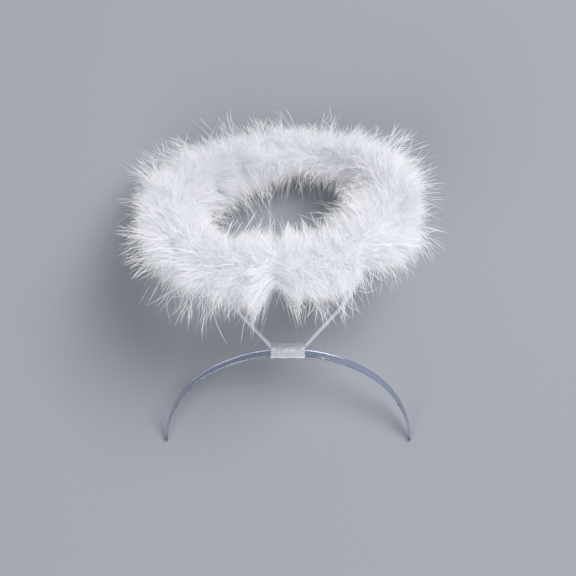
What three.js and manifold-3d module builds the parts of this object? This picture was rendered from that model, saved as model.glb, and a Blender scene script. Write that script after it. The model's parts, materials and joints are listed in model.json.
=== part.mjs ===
// Halo headband: a ring of white marabou down on a V of covered wire, taped to a clear plastic headband.
// Millimetres. The pieces are made as worn: the crown of the headband is at the origin, +X is to the right
// seen from the front, +Y to the back and +Z up. The whole is then leaned back until the tips of the
// headband and the back of the down lie on the floor, with the middle of its box over the origin.

import * as THREE from 'three';
import { mergeVertices } from 'three/addons/utils/BufferGeometryUtils.js';
import Module from 'manifold-3d';

const wasm = await Module();
wasm.setup();

// Room between neighbouring pieces
const clearance = 0.3;

// Headband: a wide arc over the crown, a tighter arc down each side and a short straight tip
const crownRadius = 79;
const crownAngle = 32;
const sideRadius = 61;
const sideAngle = 86;
const tipLength = 4;
const bandWidth = 5.4;
const bandThickness = 1.4;
const bandEdge = 0.4;
const tipWidth = 3;
const tipTaper = 26;

// Wire frame: a ring, and two stems that stand on the headband in a V
const wireDiameter = 2.7;
const stemAngle = 53.4;
const stemSpread = 16;
const stemBend = 3.2;
const stemStraight = 34;
const ringRadius = 60;
const ringHeight = 72;
const ringShift = -3;
const ringLean = 4;
const joinAngle = 55;

// Tape wrap round the headband and the foot of the V
const tapeLength = 19;
const tapeWidth = 7;
const tapeUnder = 1.2;
const tapeOver = 1.8;
const tapeEndRise = 1.2;
const tapeCorner = 1.1;

// Marabou down: how far its locks reach from the wire, across the ring and up and down
const downReach = 28;
const downRise = 19;
const downHang = 20;
const coreShare = 0.6;
const rootShare = 0.4;
const lockSpacing = 9.3;
const lockRows = 5;
const lockWidth = 12;
const shortestLock = 0.86;
const lockCurl = 0.3;

// The down round the ring, by degrees from the front towards +X, as shares: its reach away from the middle and
// into it, its rise and its hang
const tufts = [
  { angle: -98, outward: 0.92, inward: 0.56, rise: 1.06, hang: 0.86 },
  { angle: -80, outward: 0.86, inward: 0.56, rise: 1, hang: 1.08 },
  { angle: -56, outward: 1.02, inward: 0.5, rise: 0.84, hang: 1.04 },
  { angle: -32, outward: 0.98, inward: 0.9, rise: 0.9, hang: 0.96 },
  { angle: -12, outward: 0.96, inward: 1.2, rise: 1.02, hang: 0.86 },
  { angle: -4, outward: 0.58, inward: 1.26, rise: 1.04, hang: 0.44 },
  { angle: 5, outward: 0.84, inward: 1.2, rise: 1.04, hang: 0.74 },
  { angle: 20, outward: 0.8, inward: 1.04, rise: 0.96, hang: 0.72 },
  { angle: 36, outward: 0.62, inward: 0.9, rise: 0.9, hang: 0.6 },
  { angle: 60, outward: 1, inward: 0.92, rise: 1.04, hang: 1.14 },
  { angle: 88, outward: 0.78, inward: 0.8, rise: 1.04, hang: 1.08 },
  { angle: 114, outward: 1, inward: 0.58, rise: 1.06, hang: 0.86 },
  { angle: 138, outward: 1.2, inward: 0.5, rise: 1.06, hang: 0.72 },
  { angle: 162, outward: 0.86, inward: 0.58, rise: 0.94, hang: 0.68 },
  { angle: 186, outward: 0.98, inward: 0.78, rise: 1, hang: 0.8 },
  { angle: 210, outward: 1.06, inward: 0.98, rise: 1.06, hang: 0.86 },
  { angle: 234, outward: 1.24, inward: 1.12, rise: 1.12, hang: 0.86 },
  { angle: 248, outward: 1.12, inward: 0.76, rise: 1.1, hang: 0.84 },
];

// How finely round things are cut
const wireSides = 7;
const bandSteps = 44;
const stemSteps = 40;
const ringSteps = 44;
const coreSides = 8;
const lockSides = 4;

const wireRadius = wireDiameter / 2;
const wireSeat = bandThickness / 2 + clearance + wireRadius;
const degrees = THREE.MathUtils.degToRad;

// Solids and the meshes made from them

function solid(geometry) {
  const bare = geometry.clone();
  bare.deleteAttribute('normal');
  bare.deleteAttribute('uv');
  const merged = mergeVertices(bare, 1e-4);
  const vertProperties = new Float32Array(merged.getAttribute('position').array);
  const triVerts = new Uint32Array(merged.getIndex().array);
  return new wasm.Manifold(new wasm.Mesh({ numProp: 3, vertProperties, triVerts }));
}

function meshOf(name, body, look) {
  const { vertProperties, triVerts } = body.getMesh();
  const geometry = new THREE.BufferGeometry();
  geometry.setAttribute('position', new THREE.BufferAttribute(new Float32Array(vertProperties), 3));
  geometry.setIndex(new THREE.BufferAttribute(new Uint32Array(triVerts), 1));
  geometry.computeVertexNormals();
  const mesh = new THREE.Mesh(geometry, new THREE.MeshStandardMaterial(look));
  mesh.name = name;
  return mesh;
}

function reshape(geometry, move) {
  const places = geometry.getAttribute('position');
  const point = new THREE.Vector3();
  for (let i = 0; i < places.count; i += 1) {
    point.fromBufferAttribute(places, i);
    move(point);
    places.setXYZ(i, point.x, point.y, point.z);
  }
  return geometry;
}

// A section carried along a path in the XZ plane: its x is up where the path runs to +X, and its y is front
function sweep(section, path, steps, share = (t) => t, taper = () => ({ x: 1, y: 1 })) {
  const straight = new THREE.ExtrudeGeometry(section, { depth: 1, steps, bevelEnabled: false });
  const front = new THREE.Vector3(0, -1, 0);
  const upward = new THREE.Vector3();
  return reshape(straight, (point) => {
    const { x, y, z } = point;
    const t = THREE.MathUtils.clamp(share(z), 0, 1);
    const size = taper(t);
    upward.crossVectors(front, path.getTangentAt(t)).normalize();
    point.copy(path.getPointAt(t));
    point.addScaledVector(upward, x * size.x).addScaledVector(front, y * size.y);
  });
}

function roundSection(radius, sides) {
  const corners = [];
  for (let i = 0; i < sides; i += 1) {
    const turn = ((i + 0.5) / sides) * 2 * Math.PI;
    corners.push(new THREE.Vector2(radius * Math.cos(turn), radius * Math.sin(turn)));
  }
  return new THREE.Shape(corners);
}

// A rectangle with cut corners, from low to high in x and half a width to each side in y
function flatSection(low, high, width, corner) {
  const half = width / 2;
  return new THREE.Shape([
    new THREE.Vector2(low, -half + corner),
    new THREE.Vector2(low + corner, -half),
    new THREE.Vector2(high - corner, -half),
    new THREE.Vector2(high, -half + corner),
    new THREE.Vector2(high, half - corner),
    new THREE.Vector2(high - corner, half),
    new THREE.Vector2(low + corner, half),
    new THREE.Vector2(low, half - corner),
  ]);
}

// Headband

class BandPath extends THREE.Curve {
  // From the tip at -X over the crown to the tip at +X
  constructor() {
    super();
    this.crown = crownRadius * degrees(crownAngle);
    this.side = sideRadius * degrees(sideAngle - crownAngle);
    this.half = this.crown + this.side + tipLength;
  }

  getPoint(t, target = new THREE.Vector3()) {
    const run = (2 * t - 1) * this.half;
    const length = Math.abs(run);
    const onCrown = Math.min(length, this.crown) / crownRadius;
    let x = crownRadius * Math.sin(onCrown);
    let z = crownRadius * (Math.cos(onCrown) - 1);
    const turned = degrees(crownAngle);
    const onSide = turned + Math.min(Math.max(length - this.crown, 0), this.side) / sideRadius;
    x += sideRadius * (Math.sin(onSide) - Math.sin(turned));
    z += sideRadius * (Math.cos(onSide) - Math.cos(turned));
    const onTip = Math.max(length - this.crown - this.side, 0);
    x += onTip * Math.cos(degrees(sideAngle));
    z -= onTip * Math.sin(degrees(sideAngle));
    return target.set(Math.sign(run) * x, 0, z);
  }
}

const bandPath = new BandPath();

// Narrower towards each tip, with a round end
function tipShape(t) {
  const fromTip = Math.min(t, 1 - t) * 2 * bandPath.half;
  const narrow = THREE.MathUtils.smoothstep(fromTip, 0, tipTaper);
  const width = THREE.MathUtils.lerp(tipWidth / bandWidth, 1, narrow);
  const inRound = THREE.MathUtils.clamp(1 - fromTip / (tipWidth / 2), 0, 0.97);
  const round = Math.sqrt(1 - inRound * inRound);
  return { x: Math.max(round, 0.6), y: width * round };
}

function makeBand(grow, taper) {
  const low = -bandThickness / 2 - grow;
  const section = flatSection(low, -low, bandWidth + 2 * grow, bandEdge);
  const closerAtTips = (t) => t - (0.8 * Math.sin(2 * Math.PI * t)) / (2 * Math.PI);
  return solid(sweep(section, bandPath, bandSteps, closerAtTips, taper));
}

// Wire frame

const ringCentre = new THREE.Vector3(ringShift, ringRadius * Math.cos(degrees(joinAngle)), ringHeight);

function onRing(turn, radius = ringRadius, up = 0) {
  const point = new THREE.Vector3(radius * Math.sin(turn), -radius * Math.cos(turn), up);
  return point.applyAxisAngle(new THREE.Vector3(0, 1, 0), -degrees(ringLean)).add(ringCentre);
}

function stemCurves(side) {
  const foot = new THREE.Vector3((side * stemSpread) / 2, 0, wireSeat);
  const rise = new THREE.Vector3(side * Math.cos(degrees(stemAngle)), 0, Math.sin(degrees(stemAngle)));
  const start = foot.clone().setX(side * (stemSpread / 2 - stemBend));
  const bent = foot.clone().addScaledVector(rise, stemBend);
  const straightEnd = foot.clone().addScaledVector(rise, stemStraight);
  const join = onRing(side * degrees(joinAngle));
  const steeper = foot.clone().addScaledVector(rise, stemStraight + (join.z - straightEnd.z) / 3);
  return {
    start,
    curves: [
      new THREE.QuadraticBezierCurve3(start, foot, bent),
      new THREE.LineCurve3(bent, straightEnd),
      new THREE.QuadraticBezierCurve3(straightEnd, steeper, join),
    ],
  };
}

function reversed(curve) {
  if (curve.isLineCurve3) {
    return new THREE.LineCurve3(curve.v2, curve.v1);
  }
  return new THREE.QuadraticBezierCurve3(curve.v2, curve.v1, curve.v0);
}

function stemPath() {
  const left = stemCurves(-1);
  const right = stemCurves(1);
  const path = new THREE.CurvePath();
  left.curves.reverse().forEach((curve) => path.add(reversed(curve)));
  path.add(new THREE.LineCurve3(left.start, right.start));
  right.curves.forEach((curve) => path.add(curve));
  return path;
}

function makeStems(radius) {
  return solid(sweep(roundSection(radius, wireSides), stemPath(), stemSteps));
}

function makeRing(radius) {
  const ring = new THREE.TorusGeometry(ringRadius, radius, wireSides, ringSteps);
  ring.rotateY(-degrees(ringLean));
  ring.translate(ringCentre.x, ringCentre.y, ringCentre.z);
  return solid(ring);
}

function makeWire(grow) {
  return makeRing(wireRadius + grow).add(makeStems(wireRadius + grow));
}

// Tape wrap: flat under the headband, and pushed up at its ends by the wire

function makeTape() {
  const low = -bandThickness / 2 - clearance - tapeUnder;
  const high = wireSeat + wireRadius + tapeOver;
  const half = tapeLength / 2;
  const ends = new THREE.LineCurve3(new THREE.Vector3(-half, 0, 0), new THREE.Vector3(half, 0, 0));
  const wrap = reshape(sweep(flatSection(low, high, tapeWidth, tapeCorner), ends, 8), (point) => {
    const lift = Math.max(point.z, 0) / high;
    point.z += tapeEndRise * lift * (point.x / half) ** 2;
  });
  const straight = () => ({ x: 1, y: 1 });
  return solid(wrap).subtract(makeBand(clearance, straight)).subtract(makeWire(clearance));
}

// Marabou down

// The table's share at a place on the ring, eased from one row to the next
function shareAt(turn, column) {
  const span = 360;
  const angle = THREE.MathUtils.euclideanModulo(THREE.MathUtils.radToDeg(turn) - tufts[0].angle, span);
  for (let i = 0; i < tufts.length; i += 1) {
    const next = tufts[(i + 1) % tufts.length];
    const from = tufts[i].angle - tufts[0].angle;
    const to = i + 1 < tufts.length ? next.angle - tufts[0].angle : span;
    if (angle <= to) {
      const eased = THREE.MathUtils.smoothstep(angle, from, to);
      return THREE.MathUtils.lerp(tufts[i][column], next[column], eased);
    }
  }
  return tufts[0][column];
}

// The down's outer form, at a place on the ring and a direction round the wire: 0 is away from the middle.
// Where it reaches little into the middle it is also slim there
function downSize(turn, around) {
  const inward = shareAt(turn, 'inward');
  const across = Math.cos(around) > 0 ? shareAt(turn, 'outward') : inward;
  const up = Math.sin(around) > 0 ? downRise * shareAt(turn, 'rise') : downHang * shareAt(turn, 'hang');
  const slim = 1 + (Math.min(inward, 1) - 1) * Math.max(-Math.cos(around), 0);
  return { across: downReach * across, up: up * slim };
}

function inDown(turn, around, share) {
  const size = downSize(turn, around);
  const radius = ringRadius + share * size.across * Math.cos(around);
  return onRing(turn, radius, share * size.up * Math.sin(around));
}

function makeCore() {
  const ring = new THREE.TorusGeometry(ringRadius, 1, coreSides, ringSteps);
  return solid(
    reshape(ring, (point) => {
      const turn = Math.atan2(point.x, -point.y);
      const around = Math.atan2(point.z, Math.hypot(point.x, point.y) - ringRadius);
      point.copy(inDown(turn, around, coreShare));
    }),
  );
}

// Even, unlike numbers from 0 to 1, for the lengths and turns of the locks
function spread(number, step) {
  return THREE.MathUtils.euclideanModulo(number * step, 1);
}

// A lock grows from near the wire, is widest at the core's skin, and curls to a point at the down's reach
function makeLock(turn, around, number) {
  const golden = 0.618034;
  const silver = 0.414214;
  const length = THREE.MathUtils.lerp(shortestLock, 1, spread(number, golden));
  const curl = THREE.MathUtils.lerp(-lockCurl, lockCurl, spread(number, silver));
  const inner = ringRadius + downSize(turn, around).across * coreShare * Math.cos(around);
  const half = (lockWidth / 2) * Math.max(inner / ringRadius, 0.5);
  const profile = [
    new THREE.Vector2(0, 0),
    new THREE.Vector2(half, 0),
    new THREE.Vector2(half * 0.8, 0.6),
    new THREE.Vector2(0, 1),
  ];
  const lock = new THREE.LatheGeometry(profile, lockSides);
  const from = inDown(turn, around, rootShare);
  const to = inDown(turn + curl * (half / ringRadius), around, length);
  const forward = new THREE.Vector3().subVectors(to, from);
  const tangent = onRing(turn + 0.01).sub(onRing(turn)).normalize();
  const over = new THREE.Vector3().crossVectors(forward, tangent).normalize();
  const side = new THREE.Vector3().crossVectors(over, forward).normalize();
  return solid(
    reshape(lock, (point) => {
      const { x, y, z } = point;
      point.copy(from).addScaledVector(forward, y);
      point.addScaledVector(side, x + curl * half * 2 * y * y);
      point.addScaledVector(over, -z * 0.8);
    }),
  );
}

function makeDown() {
  const around = Math.ceil((2 * Math.PI * ringRadius) / lockSpacing);
  const parts = [makeCore()];
  for (let i = 0; i < around; i += 1) {
    for (let row = 0; row < lockRows; row += 1) {
      const number = i * lockRows + row;
      const turn = ((i + 0.5 * (row % 2)) / around) * 2 * Math.PI;
      const direction = ((row + 0.5 * (i % 2)) / lockRows) * 2 * Math.PI;
      parts.push(makeLock(turn, direction, number));
    }
  }
  return wasm.Manifold.union(parts).subtract(makeWire(clearance));
}

// The whole, as worn

const worn = new THREE.Group();
const headband = meshOf('headband', makeBand(0, tipShape), {
  color: 0xdde3ec,
  roughness: 0.15,
  metalness: 0,
  transparent: true,
  opacity: 0.5,
});
const wireFrame = meshOf('wire_frame', makeWire(0), { color: 0xe3e6ee, roughness: 0.7, metalness: 0 });
const tapeWrap = meshOf('tape_wrap', makeTape(), { color: 0xe6e6ea, roughness: 0.85, metalness: 0 });
const marabou = meshOf('marabou', makeDown(), { color: 0xf2f3f7, roughness: 0.95, metalness: 0 });
worn.add(headband, wireFrame, tapeWrap, marabou);

// At rest it leans back on the tips of the headband and the back of the down

function lowest(mesh, lean) {
  const places = mesh.geometry.getAttribute('position');
  let low = Infinity;
  for (let i = 0; i < places.count; i += 1) {
    low = Math.min(low, places.getZ(i) * Math.cos(lean) - places.getY(i) * Math.sin(lean));
  }
  return low;
}

function restingLean() {
  let least = 0;
  let most = Math.PI / 2;
  for (let i = 0; i < 40; i += 1) {
    const middle = (least + most) / 2;
    if (lowest(headband, middle) < lowest(marabou, middle)) {
      least = middle;
    } else {
      most = middle;
    }
  }
  return least;
}

worn.rotation.x = -restingLean();
const group = new THREE.Group();
group.add(worn);
const box = new THREE.Box3().setFromObject(group, true);
const middle = box.getCenter(new THREE.Vector3());
worn.position.set(-middle.x, -middle.y, -box.min.z);
group.updateMatrixWorld(true);

export default group;
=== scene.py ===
import json
import math

import bpy
import numpy as np
from mathutils import Matrix, Vector


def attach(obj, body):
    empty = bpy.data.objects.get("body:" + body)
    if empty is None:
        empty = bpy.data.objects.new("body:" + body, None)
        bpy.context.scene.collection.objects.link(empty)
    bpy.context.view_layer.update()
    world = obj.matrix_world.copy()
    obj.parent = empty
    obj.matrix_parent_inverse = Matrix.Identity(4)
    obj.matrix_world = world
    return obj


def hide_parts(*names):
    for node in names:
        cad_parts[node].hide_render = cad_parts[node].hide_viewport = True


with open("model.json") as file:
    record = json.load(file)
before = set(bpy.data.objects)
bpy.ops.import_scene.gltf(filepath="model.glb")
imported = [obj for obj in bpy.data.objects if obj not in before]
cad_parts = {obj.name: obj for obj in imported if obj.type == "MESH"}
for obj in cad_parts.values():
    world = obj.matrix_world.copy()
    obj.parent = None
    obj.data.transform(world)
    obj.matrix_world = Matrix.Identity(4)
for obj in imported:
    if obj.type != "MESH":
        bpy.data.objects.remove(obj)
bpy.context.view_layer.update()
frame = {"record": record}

# Pose: every piece is modelled as worn, with the crown of the headband at the origin, +X to the
# right, +Y to the back and +Z up. It is then leaned back to where it rests, on the headband's tips
# and the back of the down. The flat seat under the tape says how far that is.
seat = next(mount for mount in frame["record"]["mounts"] if mount["name"] == "crown_seat")
seat_below_crown = 0.0022
worn_up = -Vector(seat["axis"]).normalized()
worn_right = Vector((1, 0, 0))
lean_back = Matrix((worn_right, worn_up.cross(worn_right), worn_up)).transposed().to_4x4()
lean_back.translation = Vector(seat["pos_m"]) + worn_up * seat_below_crown

# Camera: the photograph looks down on the worn piece from in front, by a little more than a third
# of a right angle, and from so far off that the two arms of the headband hardly converge.
view_height = math.radians(34)
view_distance = 0.9
metres_per_pixel = 0.00056
picture_width = 576
aim = Vector((0, 0.0197, 0.0303))

eye = aim + view_distance * Vector((0, -math.cos(view_height), math.sin(view_height)))
bpy.ops.object.select_all(action="DESELECT")
bpy.ops.object.camera_add()
camera = bpy.context.object
camera.name = "camera"
camera.data.lens = camera.data.sensor_width * view_distance / (picture_width * metres_per_pixel)
looking = (aim - eye).to_track_quat("-Z", "Y").to_matrix().to_4x4()
camera.matrix_world = lean_back @ Matrix.Translation(eye) @ looking
bpy.context.scene.camera = camera

# Headband: one thin strip of clear plastic, moulded with a low rim along each edge of its outer
# face. It is bent to a wide arc over the crown and a tighter one down each side, and its tips
# narrow and round off.
crown_radius = 0.079
crown_angle = math.radians(32)
side_radius = 0.061
side_angle = math.radians(86)
tip_length = 0.00385
tip_steps = (0.3, 0.25, 0.18, 0.12, 0.09, 0.06)
tip_width = 0.003
tip_taper = 0.026
band_width = 0.0054
band_thickness = 0.0014
band_squareness = 0.32
rim_width = 0.0008
channel_depth = 0.0003

bpy.ops.object.select_all(action="DESELECT")
bpy.ops.mesh.primitive_circle_add(vertices=32, radius=0.5, rotation=(0, math.pi / 2, 0))
headband = bpy.context.object
headband.name = "headband_strip"
bpy.ops.object.transform_apply(rotation=True)
for corner in headband.data.vertices:
    y, z = corner.co.y * 2, corner.co.z * 2
    corner.co.y = math.copysign(abs(y) ** band_squareness, y) * band_width / 2
    corner.co.z = math.copysign(abs(z) ** band_squareness, z) * band_thickness / 2
    if z > 0 and abs(corner.co.y) < band_width / 2 - rim_width:
        corner.co.z -= channel_depth
crown_centre = Vector((0, 0, -crown_radius))
crown_end = Vector((math.sin(crown_angle), 0, math.cos(crown_angle)))
side_centre = crown_centre + (crown_radius - side_radius) * crown_end
side_end = Vector((math.sin(side_angle), 0, math.cos(side_angle)))
tip_way = Vector((math.cos(side_angle), 0, -math.sin(side_angle)))
bpy.ops.object.mode_set(mode="EDIT")
bpy.ops.mesh.select_all(action="SELECT")
side_turn = side_angle - crown_angle
bpy.ops.mesh.spin(steps=22, angle=crown_angle, center=crown_centre, axis=(0, -1, 0))
bpy.ops.mesh.spin(steps=40, angle=side_turn, center=side_centre, axis=(0, -1, 0))
for share in tip_steps:
    bpy.ops.mesh.extrude_region_move(TRANSFORM_OT_translate={"value": tip_way * tip_length * share})
bpy.ops.mesh.edge_face_add()
bpy.ops.object.mode_set(mode="OBJECT")
for corner in headband.data.vertices:
    from_centre = corner.co - side_centre
    turned = math.atan2(from_centre.x, from_centre.z)
    beyond = (from_centre - side_radius * side_end).dot(tip_way)
    to_tip = tip_length - beyond if beyond > 0 else tip_length + (side_angle - turned) * side_radius
    narrow = min(max(to_tip / tip_taper, 0), 1)
    width = tip_width / band_width + (1 - tip_width / band_width) * narrow * narrow * (3 - 2 * narrow)
    in_round = min(max(1 - to_tip / (tip_width / 2), 0), 0.95)
    corner.co.y *= width * math.sqrt(1 - in_round * in_round)
mirror = headband.modifiers.new("other arm", "MIRROR")
mirror.merge_threshold = 1e-5
bpy.ops.object.modifier_apply(modifier=mirror.name)
bpy.ops.object.mode_set(mode="EDIT")
bpy.ops.mesh.select_all(action="SELECT")
bpy.ops.mesh.remove_doubles(threshold=1e-6)
bpy.ops.mesh.normals_make_consistent(inside=False)
bpy.ops.object.mode_set(mode="OBJECT")
bpy.ops.object.shade_smooth_by_angle(angle=math.radians(55))


class Field:
    """What a material works out over a surface. Python's operators on it add Math nodes."""

    def __init__(self, tree, socket=None):
        self.tree = tree
        self.socket = socket

    def add(self, kind, settings, inputs, output=0):
        """Adds a node of a kind: its settings first, then the values or links of its sockets."""
        node = self.tree.nodes.new("ShaderNode" + kind)
        for name, value in settings.items():
            if name == "stops":
                for element, (place, colour) in zip(node.color_ramp.elements, value):
                    element.position = place
                    element.color = (*colour, 1)
            else:
                setattr(node, name, value)
        for name, value in inputs.items():
            if isinstance(value, Field):
                self.tree.links.new(value.socket, node.inputs[name])
            else:
                node.inputs[name].default_value = value
        return Field(self.tree, node.outputs[output] if len(node.outputs) else None)

    def maths(self, operation, first, second):
        return self.add("Math", {"operation": operation}, {0: first, 1: second})

    def __add__(self, other):
        return self.maths("ADD", self, other)

    def __radd__(self, other):
        return self.maths("ADD", other, self)

    def __mul__(self, other):
        return self.maths("MULTIPLY", self, other)

    def __rmul__(self, other):
        return self.maths("MULTIPLY", other, self)


def new_material(name):
    material = bpy.data.materials.new(name)
    material.use_nodes = True
    material.node_tree.nodes.clear()
    return material, Field(material.node_tree)


def settle(piece, material, node):
    """Leans a finished piece back into place, gives it its finish and hides the part it stands in for."""
    piece.data.transform(lean_back @ piece.matrix_world)
    piece.matrix_world = Matrix.Identity(4)
    piece.data.materials.clear()
    piece.data.materials.append(material)
    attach(piece, "root")
    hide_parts(node)


def make_clear_plastic():
    material, field = new_material("clear_plastic")
    where = field.add("TexCoord", {}, {}, "Object")
    scuffs = field.add("TexNoise", {}, {"Vector": where, "Scale": 900.0, "Detail": 3.0})
    haze = field.add("TexNoise", {}, {"Vector": where, "Scale": 60.0, "Detail": 2.0})
    relief = field.add("Bump", {}, {"Height": scuffs, "Strength": 0.05, "Distance": 0.0001})
    # The blue-grey tint is a painted reflection: it stands in for the cool light that the clear strip
    # reflects.
    surface = field.add(
        "BsdfPrincipled",
        {},
        {
            "Base Color": (0.62, 0.70, 0.86, 1),
            "Transmission Weight": 1.0,
            "IOR": 1.49,
            "Roughness": 0.05 + 0.12 * haze * scuffs,
            "Normal": relief,
        },
    )
    field.add("OutputMaterial", {}, {"Surface": surface})
    return material


settle(headband, make_clear_plastic(), "headband")

# Wire frame: a steel wire in a white wound covering. It is bent into a ring, which the down is
# wound on, and two stems that spread in a V from a short run along the top of the headband.
wire_radius = 0.0012
wire_gap = 0.0003
stem_angle = math.radians(53.4)
stem_spread = 0.016
stem_bend = 0.0032
stem_straight = 0.034
ring_radius = 0.06
ring_height = 0.072
ring_shift = -0.003
ring_lean = math.radians(4)
join_angle = math.radians(55)

wire_seat = band_thickness / 2 + wire_gap + wire_radius
ring_centre = Vector((ring_shift, ring_radius * math.cos(join_angle), ring_height))
ring_right = Vector((math.cos(ring_lean), 0, math.sin(ring_lean)))
ring_back = Vector((0, 1, 0))
ring_up = ring_right.cross(ring_back)


def stem_stops(side):
    """Where a stem bends, going up to the ring: each place with its handle below and above."""
    rise = Vector((side * math.cos(stem_angle), 0, math.sin(stem_angle)))
    foot = Vector((side * stem_spread / 2, 0, wire_seat))
    outward = side * math.sin(join_angle) * ring_right - math.cos(join_angle) * ring_back
    join = ring_centre + ring_radius * outward
    start = foot - Vector((side * stem_bend, 0, 0))
    bent = foot + rise * stem_bend
    straight_end = foot + rise * stem_straight
    steeper = straight_end + rise * (join.z - straight_end.z) / 3
    return [
        (start, start.lerp(Vector((0, 0, wire_seat)), 0.6), start.lerp(foot, 2 / 3)),
        (bent, bent.lerp(foot, 2 / 3), bent.lerp(straight_end, 1 / 3)),
        (straight_end, straight_end.lerp(bent, 1 / 3), straight_end.lerp(steeper, 2 / 3)),
        (join, join.lerp(steeper, 2 / 3), join),
    ]


bpy.ops.object.select_all(action="DESELECT")
bpy.ops.curve.primitive_bezier_curve_add()
stems = bpy.context.object
stops = [(place, above, below) for place, below, above in reversed(stem_stops(-1))] + stem_stops(1)
wire_points = stems.data.splines[0].bezier_points
wire_points.add(len(stops) - len(wire_points))
for point, (place, before, after) in zip(wire_points, stops):
    point.handle_left_type = point.handle_right_type = "FREE"
    point.co, point.handle_left, point.handle_right = place, before, after
stems.data.resolution_u = 24
stems.data.bevel_depth = wire_radius
stems.data.bevel_resolution = 6
stems.data.use_fill_caps = True
bpy.ops.object.convert(target="MESH")

bpy.ops.object.select_all(action="DESELECT")
bpy.ops.mesh.primitive_torus_add(
    major_radius=ring_radius, minor_radius=wire_radius, major_segments=180, minor_segments=14
)
wire_frame = bpy.context.object
wire_frame.name = "wire_ring_and_stems"
wire_frame.matrix_world = Matrix.Translation(ring_centre) @ Matrix.Rotation(-ring_lean, 4, "Y")
bpy.ops.object.transform_apply()
stems.select_set(True)
bpy.ops.object.join()
bpy.ops.object.shade_smooth()


def make_wire_covering():
    material, field = new_material("wire_covering")
    where = field.add("TexCoord", {}, {}, "Object")
    upright = field.add("Mapping", {}, {"Vector": where, "Rotation": (-lean_back.to_euler().x, 0, 0)})
    windings = field.add(
        "TexWave",
        {"wave_type": "BANDS", "bands_direction": "Z"},
        {"Vector": upright, "Scale": 420.0, "Distortion": 1.5, "Detail": 2.0, "Detail Scale": 3.0},
        "Fac",
    )
    fuzz = field.add("TexNoise", {}, {"Vector": where, "Scale": 2600.0, "Detail": 4.0})
    handling = field.add("TexNoise", {}, {"Vector": where, "Scale": 120.0, "Detail": 2.0})
    # The covering's real white is painted down to a cool grey as painted shade: it stands in for less
    # light falling on the wire than on the down. Handling marks and the windings vary it.
    white_with_painted_shade = field.add(
        "ValToRGB",
        {"stops": [(0.25, (0.36, 0.38, 0.44)), (0.7, (0.50, 0.52, 0.59))]},
        {"Fac": 0.6 * handling + 0.4 * windings},
    )
    relief = field.add(
        "Bump", {}, {"Height": windings + 0.4 * fuzz, "Strength": 0.35, "Distance": 0.00008}
    )
    surface = field.add(
        "BsdfPrincipled", {}, {"Base Color": white_with_painted_shade, "Roughness": 0.42 + 0.2 * fuzz, "Normal": relief}
    )
    field.add("OutputMaterial", {}, {"Surface": surface})
    return material


settle(wire_frame, make_wire_covering(), "wire_frame")

# Tape wrap: a strip of thin white cloth tape, wound two and a half times round the headband and the
# wire over two folded pads. The rising stems push its ends up, and its free end is stuck down low
# on the front.
tape_length = 0.019
tape_half_width = 0.0035
tape_foot = -seat_below_crown
tape_head = 0.0049
tape_thickness = 0.00022
tape_pitch = 0.00027
tape_first_corner = 0.0009
tape_runs = 10
tape_free_end = 0.0058
run_steps = 12

outer_corner = tape_first_corner + tape_pitch * tape_runs / 4
box_half = tape_half_width - outer_corner
box_foot = tape_foot + outer_corner
box_head = tape_head - outer_corner
bpy.ops.object.select_all(action="DESELECT")
bpy.ops.mesh.primitive_plane_add(size=1)
tape = bpy.context.object
tape.name = "tape_turns"
first_step = box_half / 2
for corner in tape.data.vertices:
    along = 0 if corner.co.y < 0 else first_step
    corner.co = (corner.co.x * tape_length, box_half - along, box_head + tape_first_corner)
    corner.select = along > 0
for edge in tape.data.edges:
    edge.select = all(tape.data.vertices[index].select for index in edge.vertices)
for face in tape.data.polygons:
    face.select = False
ways = [Vector((0, -1, 0)), Vector((0, 0, -1)), Vector((0, 1, 0)), Vector((0, 0, 1))]
box_corners = [(-box_half, box_head), (-box_half, box_foot), (box_half, box_foot), (box_half, box_head)]
bpy.ops.object.mode_set(mode="EDIT")
for run in range(tape_runs):
    flat_run = 2 * box_half if run % 2 == 0 else box_head - box_foot
    if run == 0:
        flat_run -= first_step
    if run == tape_runs - 1:
        flat_run = tape_free_end - outer_corner
    bulge = ways[(run - 1) % 4] * tape_pitch / 4
    for _ in range(run_steps):
        step = (ways[run % 4] * flat_run + bulge) / run_steps
        bpy.ops.mesh.extrude_region_move(TRANSFORM_OT_translate={"value": step})
    if run < tape_runs - 1:
        y, z = box_corners[run % 4]
        bpy.ops.mesh.spin(steps=6, angle=math.pi / 2, center=(0, y, z), axis=(-1, 0, 0))
bpy.ops.mesh.select_mode(type="EDGE")
bpy.ops.mesh.select_all(action="DESELECT")
bpy.ops.object.mode_set(mode="OBJECT")
for edge in tape.data.edges:
    start, end = (tape.data.vertices[index].co for index in edge.vertices)
    edge.select = abs(start.x - end.x) > tape_length / 2
bpy.ops.object.mode_set(mode="EDIT")
bpy.ops.mesh.subdivide(number_cuts=39)
bpy.ops.mesh.select_mode(type="VERT")
bpy.ops.object.mode_set(mode="OBJECT")

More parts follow.
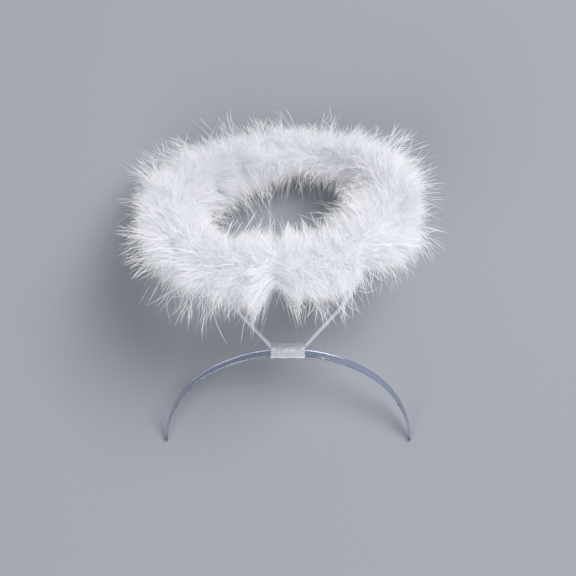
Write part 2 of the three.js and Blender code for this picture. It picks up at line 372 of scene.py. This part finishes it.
# The hand that wound it left soft creases, a frayed edge at each side and a lifted, ragged free end.
lifted_length = 0.0012
lifted_height = 0.0004
ragged_depth = 0.0002
end_rise = 0.0008
wire_rise = 0.0004
wire_rise_width = 0.0017
crease_out = 0.0001
crease_up = 0.00009
side_fray = 0.00025
free_end = tape_head - tape_free_end
for corner in tape.data.vertices:
    x, y, z = corner.co
    if y < 1e-5 - tape_half_width and z < free_end + lifted_length:
        near_end = 1 - (z - free_end) / lifted_length
        ragged = math.sin(x * 760) + 0.6 * math.sin(x * 1710 + 1)
        corner.co.y -= lifted_height * near_end
        corner.co.z += near_end * ragged_depth * ragged
    along = 2 * x / tape_length
    lift = min(max(z, 0) / tape_head, 1)
    over_wire = math.exp(-((y / wire_rise_width) ** 2))
    corner.co.z += lift * along * along * (end_rise + wire_rise * over_wire * along * along)
    crease = math.sin(x * 1150 + 900 * z) * math.sin(x * 390 + 700 * y)
    corner.co.y += crease_out * crease * math.copysign(1, y)
    corner.co.z += crease_up * crease * math.copysign(1, z)
    corner.co.x += side_fray * math.sin(z * 2300 + y * 1700) * abs(along) ** 9
cloth = tape.modifiers.new("cloth", "SOLIDIFY")
cloth.thickness = tape_thickness
cloth.offset = 0
bpy.ops.object.modifier_apply(modifier=cloth.name)

# Each side of the wire, a pad of folded tape fills the hollow between the first turn and the headband.
pad_gap = 0.0001
pad_end_gap = 0.0004
pad_rounding = 0.0003
pad_inner = wire_radius + pad_gap
pad_outer = box_half + tape_first_corner - tape_thickness
pad_foot = band_thickness / 2 + pad_gap
pad_head = tape_head - tape_pitch * tape_runs / 4 - tape_thickness
for side in (-1, 1):
    bpy.ops.object.select_all(action="DESELECT")
    bpy.ops.mesh.primitive_cube_add(
        size=1, location=(0, side * (pad_inner + pad_outer) / 2, (pad_foot + pad_head) / 2)
    )
    pad = bpy.context.object
    pad.scale = (tape_length - 2 * pad_end_gap, pad_outer - pad_inner, pad_head - pad_foot)
    bpy.ops.object.transform_apply()
    bpy.ops.object.mode_set(mode="EDIT")
    bpy.ops.mesh.select_all(action="SELECT")
    bpy.ops.mesh.bevel(offset=pad_rounding, segments=2)
    bpy.ops.object.mode_set(mode="OBJECT")
    tape.select_set(True)
    bpy.context.view_layer.objects.active = tape
    bpy.ops.object.join()
bpy.ops.object.shade_smooth_by_angle(angle=math.radians(45))


def make_cloth_tape():
    material, field = new_material("cloth_tape")
    where = field.add("TexCoord", {}, {}, "Object")
    thread = {"Vector": where, "Scale": 520.0, "Distortion": 0.8, "Detail": 1.0}
    weave = field.add("TexWave", {"bands_direction": "X"}, thread, "Fac") + field.add(
        "TexWave", {"bands_direction": "Y"}, thread, "Fac"
    )
    lint = field.add("TexNoise", {}, {"Vector": where, "Scale": 800.0, "Detail": 4.0})
    streaks = field.add(
        "TexWave",
        {"bands_direction": "Z"},
        {"Vector": where, "Scale": 470.0, "Distortion": 4.0, "Detail": 3.0, "Detail Scale": 0.6},
        "Fac",
    )
    # The tape's real white is painted down to a cool grey as painted shade: it stands in for less light
    # falling on the tape than on the down. The weave, lint and streaks vary it.
    white_with_painted_shade = field.add(
        "ValToRGB",
        {"stops": [(0.25, (0.25, 0.26, 0.30)), (0.7, (0.60, 0.615, 0.67))]},
        {"Fac": 0.1 * weave + 0.5 * lint + 0.25 * streaks},
    )
    height = 0.5 * weave + 0.6 * lint + 0.5 * streaks
    relief = field.add("Bump", {}, {"Height": height, "Strength": 0.5, "Distance": 0.00015})
    surface = field.add("BsdfPrincipled", {}, {"Base Color": white_with_painted_shade, "Roughness": 0.8, "Normal": relief})
    field.add("OutputMaterial", {}, {"Surface": surface})
    return material


settle(tape, make_cloth_tape(), "tape_wrap")

# Marabou: a trim of white feather down, wound round the ring. A soft felted middle hides the wire,
# and its fine strands grow out in tufts, longest at the lobes and shortest where the trim is pinched.
down_reach = 0.028
down_rise = 0.019
down_hang = 0.020
felt_share = 0.52
felt_lumps = 0.03
tufts = np.array(
    [
        # degrees from the front towards +X, and shares: reach outwards, reach inwards, rise and hang
        (-98, 0.92, 0.72, 1.06, 0.80),
        (-80, 0.84, 0.84, 1.04, 1.06),
        (-56, 0.96, 0.72, 0.93, 1.02),
        (-32, 0.95, 0.80, 0.89, 0.96),
        (-20, 1.00, 1.00, 0.94, 1.06),
        (-10, 0.98, 1.20, 1.02, 0.98),
        (-3, 0.46, 1.24, 1.00, 0.52),
        (4, 0.90, 1.20, 1.04, 0.84),
        (20, 0.98, 1.04, 0.98, 0.98),
        (29, 0.86, 0.98, 0.94, 0.84),
        (37, 0.56, 0.96, 0.92, 0.54),
        (60, 0.94, 1.18, 1.04, 1.06),
        (88, 0.72, 0.80, 1.04, 1.06),
        (114, 0.96, 0.58, 1.06, 0.84),
        (138, 1.14, 0.50, 1.06, 0.68),
        (162, 0.86, 0.52, 0.94, 0.62),
        (186, 0.96, 0.76, 0.98, 0.76),
        (210, 1.06, 0.94, 1.04, 0.84),
        (234, 1.22, 1.04, 1.10, 0.84),
        (248, 1.12, 0.74, 1.08, 0.78),
    ]
)
chance = np.random.default_rng(7)


def tuft_share(turn, column):
    """The table's share at each turn round the ring, eased from one row to the next."""
    degrees = np.degrees(turn) % 360
    marks = np.concatenate([tufts[:, 0] - 360, tufts[:, 0], tufts[:, 0] + 360])
    shares = np.tile(tufts[:, column], 3)
    row = np.searchsorted(marks, degrees, side="right") - 1
    part = (degrees - marks[row]) / (marks[row + 1] - marks[row])
    return shares[row] + (shares[row + 1] - shares[row]) * part * part * (3 - 2 * part)


def in_down(turn, around, share):
    """Places by a turn round the ring, a turn round the wire and a share of the down's depth there."""
    out = np.sin(turn)[..., None] * np.array(ring_right) - np.cos(turn)[..., None] * np.array(ring_back)
    inward = tuft_share(turn, 2)
    reach = down_reach * np.where(np.cos(around) > 0, tuft_share(turn, 1), inward)
    rise = down_rise * tuft_share(turn, 3)
    hang = down_hang * tuft_share(turn, 4)
    slimmer_inside = 1 + (np.minimum(inward, 1) - 1) * np.clip(-np.cos(around), 0, 1)
    depth = np.where(np.sin(around) > 0, rise, hang) * slimmer_inside
    radius = ring_radius + share * reach * np.cos(around)
    height = share * depth * np.sin(around)
    return np.array(ring_centre) + out * radius[..., None] + np.array(ring_up) * height[..., None]


bpy.ops.object.select_all(action="DESELECT")
bpy.ops.mesh.primitive_torus_add(
    major_radius=ring_radius, minor_radius=0.001, major_segments=240, minor_segments=40
)
felt = bpy.context.object
felt.name = "marabou_felt"
felt_x, felt_y, felt_z = np.array([corner.co for corner in felt.data.vertices]).T
felt_turn = np.arctan2(felt_x, -felt_y)
felt_around = np.arctan2(felt_z, np.hypot(felt_x, felt_y) - ring_radius)

# The lumps are whole numbers of waves round the ring and round the wire, so that no seam shows.
lumps = np.sin(felt_turn * 23 + 3 * felt_around) * np.sin(felt_around * 4 + felt_turn * 9)
lumps += 0.6 * np.sin(felt_turn * 61 - felt_around * 5) * np.sin(felt_around * 9 + felt_turn * 17)
felt_places = in_down(felt_turn, felt_around, felt_share + felt_lumps * lumps)
felt.data.vertices.foreach_set("co", felt_places.ravel())
felt.data.update()
bpy.ops.object.shade_smooth()

# Down rests lightly: a strand that would sink into the floor bends and lies just above it.
floor_bend = 0.002
floor_gap = 0.0002


def at_rest(places):
    return places @ np.array(lean_back.to_3x3()).T + np.array(lean_back.translation)


def flat_side(places, facing):
    """The way in which each strand is wide, all along it: across the strand and what it faces."""
    across = np.cross(np.gradient(places, axis=1), facing[:, None, :])
    return across / (np.linalg.norm(across, axis=2, keepdims=True) + 1e-9)


def strand_places(root, tip, stations, facing, swing, waves, droop):
    """Places at rest along each strand, from its root to its tip, which are given as in_down has them."""
    t = np.linspace(0, 1, stations)[None, :]
    turn = root[:, :1] + (tip[:, :1] - root[:, :1]) * t**1.5
    around = root[:, 1:2] + (tip[:, 1:2] - root[:, 1:2]) * t**1.5
    share = root[:, 2:3] + (tip[:, 2:3] - root[:, 2:3]) * t
    places = in_down(turn, around, share)
    curl = swing[:, None] * np.sin(t * waves[:, None]) * t
    places = places + flat_side(places, facing) * curl[..., None]
    places[..., 2] -= droop[:, None] * t * t
    rest = at_rest(places)
    sunk = rest[..., 2] < floor_bend
    rest[..., 2][sunk] = floor_bend * np.exp(rest[..., 2][sunk] / floor_bend - 1) + floor_gap
    return rest


def strand_mesh(name, places, half):
    """One mesh of flat strands: four-sided faces between the stations and a pointed one at each tip."""
    count, stations = places.shape[:2]
    edges = np.stack([places - half, places + half], axis=2)[:, :-1].reshape(count, -1, 3)
    corners = np.concatenate([edges, places[:, -1:]], axis=1)
    corners[..., 2] = np.maximum(corners[..., 2], floor_gap)
    per_strand = corners.shape[1]
    rungs = [(2 * i, 2 * i + 1, 2 * i + 3, 2 * i + 2) for i in range(stations - 2)]
    point = [per_strand - 3, per_strand - 2, per_strand - 1]
    loops = np.array([index for rung in rungs for index in rung] + point)
    loop_corners = loops[None, :] + np.arange(count)[:, None] * per_strand
    sizes = np.tile([4] * (stations - 2) + [3], count)
    mesh = bpy.data.meshes.new(name)
    mesh.vertices.add(count * per_strand)
    mesh.vertices.foreach_set("co", corners.ravel())
    mesh.loops.add(loop_corners.size)
    mesh.loops.foreach_set("vertex_index", loop_corners.ravel())
    mesh.polygons.add(len(sizes))
    mesh.polygons.foreach_set("loop_start", np.cumsum(sizes) - sizes)
    mesh.update(calc_edges=True)

    # The strands' map holds how far along a strand a place is, and a shade of its own for each strand.
    strand_map = mesh.uv_layers.new(name="OFBake")
    along = np.minimum(loops // 2, stations - 1) / (stations - 1)
    shade = chance.uniform(0.02, 0.98, count)[:, None] + 0.01 * (loops % 2)
    uv = np.stack([np.broadcast_to(along, shade.shape), shade], axis=2)
    strand_map.data.foreach_set("uv", uv.ravel().astype(np.float32))
    mesh.transform(lean_back.inverted())
    strands = bpy.data.objects.new(name, mesh)
    bpy.context.collection.objects.link(strands)
    return strands


def make_down():
    material, field = new_material("white_down")
    strand = field.add("UVMap", {"uv_map": "OFBake"}, {})
    along = field.add("SeparateXYZ", {}, {"Vector": strand}, 0)
    shade = field.add("SeparateXYZ", {}, {"Vector": strand}, 1)
    # The strands are painted greyer and cooler towards the root, and the felt, which has no strand map,
    # as grey as a root: painted shade deep in the down. Each strand also has a tone of its own.
    white_with_painted_shade = field.add(
        "ValToRGB",
        {"stops": [(0.3, (0.77, 0.78, 0.84)), (0.85, (0.98, 0.978, 0.99))]},
        {"Fac": 0.35 + 0.4 * along + 0.25 * shade},
    )
    skin = field.add(
        "BsdfPrincipled", {}, {"Base Color": white_with_painted_shade, "Roughness": 0.85, "Specular IOR Level": 0.2}
    )
    through = field.add("BsdfTranslucent", {}, {"Color": (0.97, 0.975, 0.985, 1)})
    surface = field.add("MixShader", {}, {0: 0.45, 1: skin, 2: through})
    field.add("OutputMaterial", {}, {"Surface": surface})
    return material


# Tufts grow all over the felt, parted at the deepest pinch. Angles are a turn round the ring and a
# turn round the wire.
tuft_total = 2600
notch_turn = math.radians(-3)
notch_parting = 0.045
notch_reach = 0.08
tuft_at = chance.uniform(0, 2 * np.pi, (tuft_total, 2))
beside = (tuft_at[:, 0] - notch_turn + np.pi) % (2 * np.pi) - np.pi
on_front = 0.5 + 0.5 * np.cos(tuft_at[:, 1] + 0.6)
tuft_at[:, 0] += notch_parting * np.sign(beside) * np.exp(-abs(beside) / notch_reach) * on_front
tuft_bend = chance.normal(0, 1, (tuft_total, 2)) * (0.06, 0.14)
tuft_length = chance.uniform(0.9, 1.06, tuft_total)

# How the strands of a tuft part from each other, matted ones and loose single ones.
tuft_spread = (0.07, 0.3)
matted_tips = (0.8, 0.65)
matted_bend = 0.9
matted_stray = (0.025, 0.08)
single_bend = 0.5
single_stray = (0.06, 0.16)
combing = 0.2
combing_step = 0.05
curl_waves = 3
sag_below = 2.5
root_shares = (0.36, 0.5)
thinnest = 0.7
thickest = 1.3
room_middle = (0, 0.02, 0.05)
room_half = (0.0945, 0.087, 0.089)


def grow(name, tuft, single, length, widths, curl, sag):
    """Strands of the numbered tufts as one mesh: most lean together at the tip, single ones stray."""
    total = len(tuft)
    alone = single[:, None]
    spot = chance.normal(0, 0.5, (total, 2)) * tuft_spread
    together = np.where(alone, (1.0, 1.0), matted_tips)
    bent = np.where(alone, single_bend, matted_bend)
    stray = chance.normal(0, 1, (total, 2)) * np.where(alone, single_stray, matted_stray)
    root = tuft_at[tuft] + spot
    tip = tuft_at[tuft] + tuft_bend[tuft] * bent + spot * together + stray
    ahead = tuft_share(tip[:, 0] + combing_step, 1)
    tip[:, 0] += combing * (ahead - tuft_share(tip[:, 0] - combing_step, 1))

    # No strand is let reach further at rest than the room round the piece.
    length = length * tuft_length[tuft]
    reached = at_rest(in_down(tip[:, 0], tip[:, 1], length))
    beyond = np.max(np.abs(reached - room_middle) - room_half, axis=1)
    length -= np.clip(beyond, 0, None) / down_rise

    swing = chance.normal(0, curl, total)
    waves = curl_waves + chance.uniform(0, curl_waves, total)
    thickness = chance.uniform(thinnest, thickest, total)
    root = np.column_stack([root, chance.uniform(*root_shares, total)])
    tip = np.column_stack([tip, length])
    facing = chance.normal(0, 1, (total, 3))
    below = np.clip(-np.sin(tip[:, 1]), 0, 1)
    droop = chance.uniform(0, 1, total) * (sag + sag_below * sag * below)
    places = strand_places(root, tip, len(widths), facing, swing, waves, droop)
    half = np.array(widths)[None, :] * thickness[:, None] / 2
    return strand_mesh(name, places, flat_side(places, facing) * half[..., None])


# The dense down is four meshes, a quarter of the ring each, of matted strands and loose single ones.
quarters = ("marabou_front_right", "marabou_back_right", "marabou_back_left", "marabou_front_left")
quarter_strands = 38_500
single_part = 0.55
matted_least = 0.6
matted_most = 0.92
loose_least = 0.62
loose_more = 0.58
down_widths = (0.00016, 0.00015, 0.00009, 0)
down_curl = 0.0005
down_sag = 0.001
down_pieces = []
for number, name in enumerate(quarters):
    here = np.flatnonzero(tuft_at[:, 0] % (2 * np.pi) // (np.pi / 2) == number)
    tuft = chance.choice(here, quarter_strands)
    single = chance.random(quarter_strands) < single_part
    matted = chance.uniform(matted_least, matted_most, quarter_strands)
    loose = loose_least + loose_more * chance.beta(1.5, 2.2, quarter_strands)
    length = np.where(single, loose, matted)
    down_pieces.append(grow(name, tuft, single, length, down_widths, down_curl, down_sag))

# Long wisps stand out of half of the tufts. They are thin, curl more, and fluff out near the tip.
wisp_total = 8000
wisp_single_part = 0.4
wisp_least = 0.94
wisp_more = 0.78
wisp_widths = (0.00011, 0.00011, 0.00011, 0.00011, 0.00013, 0.0002, 0.00018, 0)
wisp_curl = 0.0014
wisp_sag = 0.004
wispy = chance.integers(0, tuft_total, tuft_total // 2)
wispy_length = wisp_least + wisp_more * chance.beta(0.9, 1.9, tuft_total)
tuft = chance.choice(wispy, wisp_total)
single = chance.random(wisp_total) < wisp_single_part
length = wispy_length[tuft] * chance.uniform(0.9, 1.06, wisp_total)
down_pieces.append(grow("marabou_wisps", tuft, single, length, wisp_widths, wisp_curl, wisp_sag))

white_down = make_down()
for piece in (felt, *down_pieces):
    settle(piece, white_down, "marabou")

# Floor: a plain pale sheet of paper.
bpy.ops.object.select_all(action="DESELECT")
bpy.ops.mesh.primitive_plane_add(size=4)
floor = bpy.context.object
floor.name = "floor"
pale_paper, field = new_material("pale_paper")
paper = field.add("BsdfPrincipled", {}, {"Base Color": (0.23, 0.24, 0.265, 1), "Roughness": 0.9})
field.add("OutputMaterial", {}, {"Surface": paper})
floor.data.materials.append(pale_paper)

# Light: a broad soft lamp above, to the right and a little behind, a weaker one lower in front on
# the left, and an even, slightly cool room.
lamps_aim = Vector((0, 0, 0.05))
for name, place, size, power in (
    ("key", (0.62, 0.42, 1.45), 0.80, 28.5),
    ("fill", (-0.45, -0.85, 1.05), 1.00, 10),
):
    bpy.ops.object.select_all(action="DESELECT")
    bpy.ops.object.light_add(type="AREA", location=place)
    lamp = bpy.context.object
    lamp.name = name
    lamp.data.size = size
    lamp.data.energy = power
    lamp.rotation_euler = (lamps_aim - Vector(place)).to_track_quat("-Z", "Y").to_euler()
room = bpy.data.worlds.new("room")
room.use_nodes = True
room.node_tree.nodes["Background"].inputs["Color"].default_value = (0.95, 0.95, 1.0, 1)
room.node_tree.nodes["Background"].inputs["Strength"].default_value = 0.45
bpy.context.scene.world = room
bpy.context.scene.view_settings.view_transform = "Standard"
